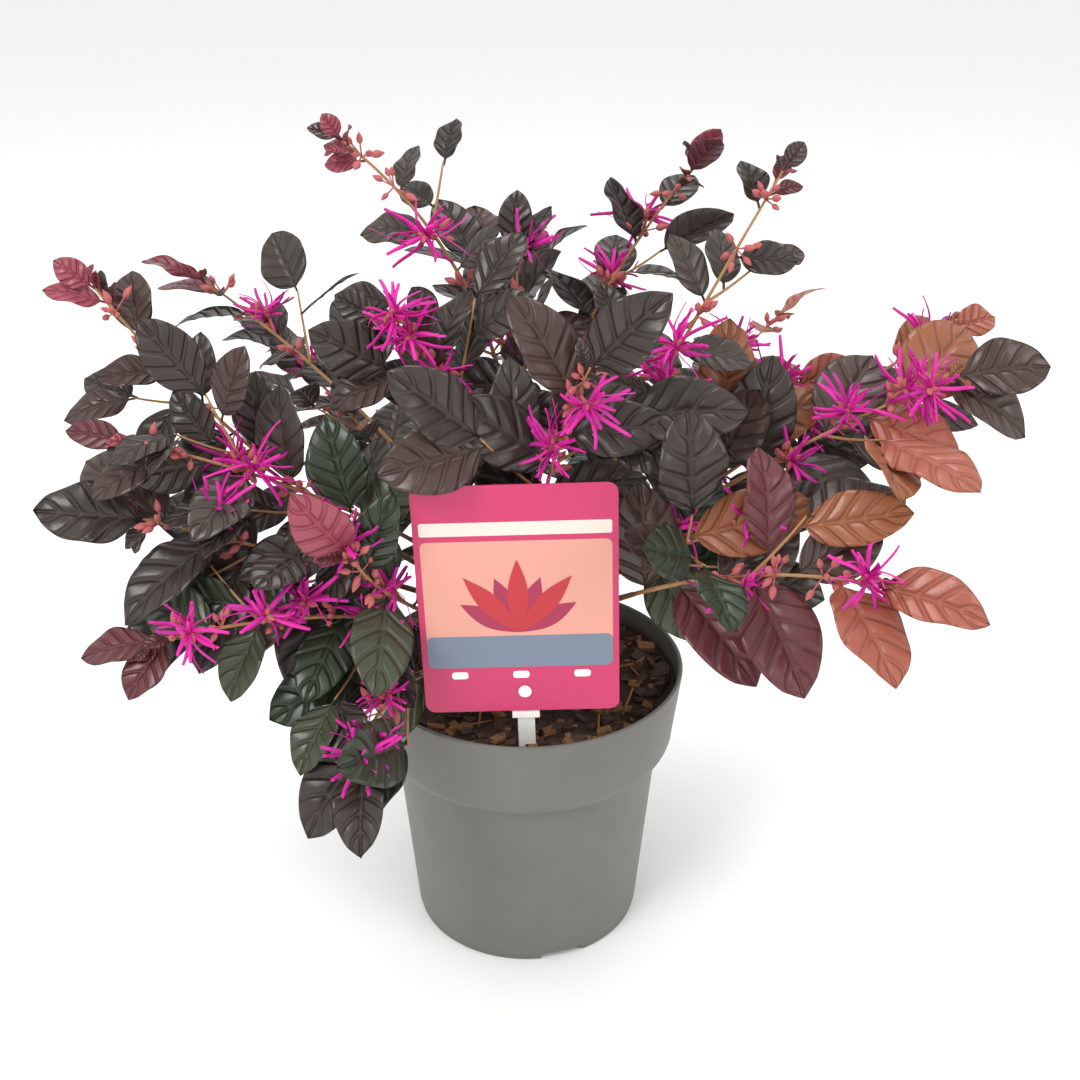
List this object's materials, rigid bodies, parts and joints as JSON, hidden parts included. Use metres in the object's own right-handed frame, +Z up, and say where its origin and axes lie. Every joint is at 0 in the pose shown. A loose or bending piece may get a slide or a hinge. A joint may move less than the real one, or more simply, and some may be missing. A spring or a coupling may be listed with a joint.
{
  "type": "potted chinese fringe flower",
  "caption": "Young shrub with dark oval leaves and strap-petalled magenta blossom on arching shoots, in a tapered nursery pot with a plant label.",
  "frame": {"origin": "centre of the pot's underside, on the ground and on the pot's axis", "axes": "+Z up along the pot's axis, the shrub's best side and the label's face look along -Y, +X to the right of someone who faces the label"},
  "size_m": [0.4819, 0.3745, 0.4397],
  "materials": {
    "pot": "matt injection-moulded polypropylene, grey",
    "soil": "loose potting soil topped with bark chips",
    "label": "printed plastic card, satin",
    "stake": "white moulded plastic",
    "bark": "thin tan-brown bark",
    "foliage": "dark bronze leaves with a soft sheen, crimson and salmon young leaves, magenta blossom"
  },
  "bodies": {
    "root": {"pot": "pot", "soil": "soil", "label_card": "label", "label_stake": "stake", "trunk": "bark", "bough_tall_left": "bark", "bough_far_left_high": "bark", "bough_back_left_high": "bark", "bough_left_middle": "bark", "bough_left_low": "bark", "bough_lower_left": "bark", "bough_over_rim": "bark", "bough_front_left": "bark", "bough_centre_left": "bark", "bough_top_centre": "bark", "bough_front_centre": "bark", "bough_tall_right_inner": "bark", "bough_tall_right": "bark", "bough_right_middle": "bark", "bough_right_high": "bark", "bough_right": "bark", "bough_low_right": "bark", "bough_front_right": "bark", "bough_back_left": "bark", "bough_back": "bark", "bough_back_right": "bark", "bough_back_low_left": "bark", "bough_back_low_right": "bark", "mass_tall_left": "foliage", "mass_far_left_high": "foliage", "mass_back_left_high": "foliage", "mass_left_middle": "foliage", "mass_left_low": "foliage", "mass_lower_left": "foliage", "mass_over_rim": "foliage", "mass_front_left": "foliage", "mass_centre_left": "foliage", "mass_top_centre": "foliage", "mass_front_centre": "foliage", "mass_tall_right_inner": "foliage", "mass_tall_right": "foliage", "mass_right_middle": "foliage", "mass_right_high": "foliage", "mass_right": "foliage", "mass_low_right": "foliage", "mass_front_right": "foliage", "mass_back_left": "foliage", "mass_back": "foliage", "mass_back_right": "foliage", "mass_back_low_left": "foliage", "mass_back_low_right": "foliage"}
  },
  "joints": []
}
